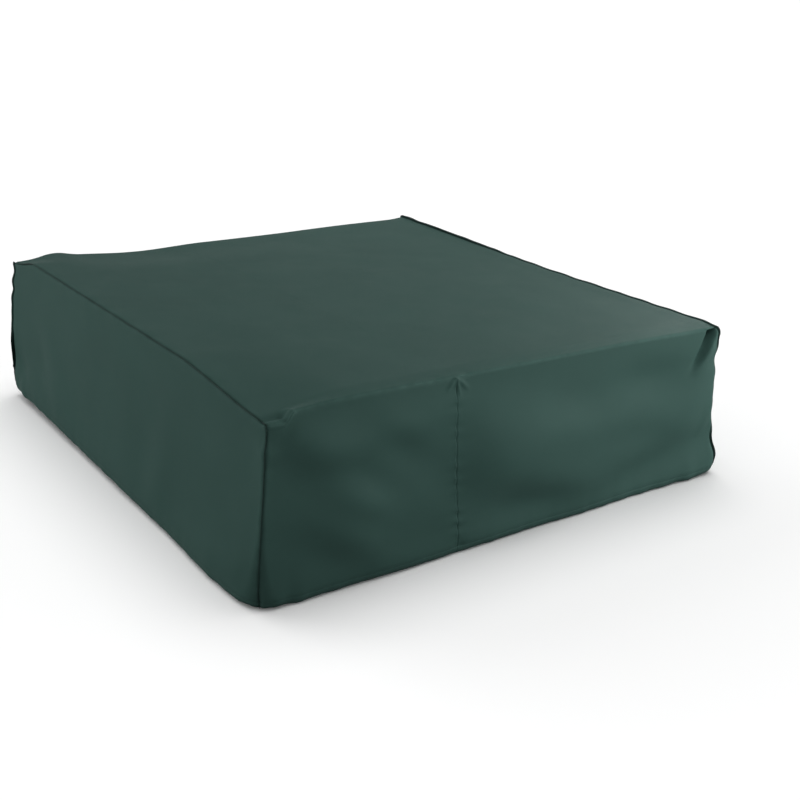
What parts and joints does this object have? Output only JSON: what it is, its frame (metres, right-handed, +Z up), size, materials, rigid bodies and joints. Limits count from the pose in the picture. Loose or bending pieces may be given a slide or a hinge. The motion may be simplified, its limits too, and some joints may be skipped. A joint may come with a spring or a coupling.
{
  "type": "spa cover",
  "caption": "Fitted square cloth cover for a spa, open underneath, with bound outward seams at the side panels, an off-centre body seam and an elastic hem.",
  "frame": {"origin": "on the floor under the centre of the cover", "axes": "+Z up; -Y is the front, where the seam between the two body strips is left of the middle; -X is the left side panel"},
  "size_m": [2.3, 2.3028, 0.6997],
  "materials": {
    "coated_cloth": "dark green coated woven polyester, soft sheen",
    "binding": "darker green folded tape",
    "thread": "green polyester thread",
    "seam_tape": "grey sealing tape, matt",
    "elastic": "black braided flat elastic"
  },
  "bodies": {
    "root": {"narrow_body_strip": "coated_cloth", "wide_body_strip": "coated_cloth", "left_side_panel": "coated_cloth", "right_side_panel": "coated_cloth", "left_hem_casing": "coated_cloth", "right_hem_casing": "coated_cloth", "front_hem_casing_narrow": "coated_cloth", "front_hem_casing_wide": "coated_cloth", "back_hem_casing_narrow": "coated_cloth", "back_hem_casing_wide": "coated_cloth", "hem_elastic": "elastic", "hem_stitching": "thread", "left_seam_binding": "binding", "right_seam_binding": "binding", "left_binding_stitching": "thread", "right_binding_stitching": "thread", "body_seam_tape": "seam_tape", "body_seam_stitching_left": "thread", "body_seam_stitching_right": "thread"}
  },
  "joints": []
}
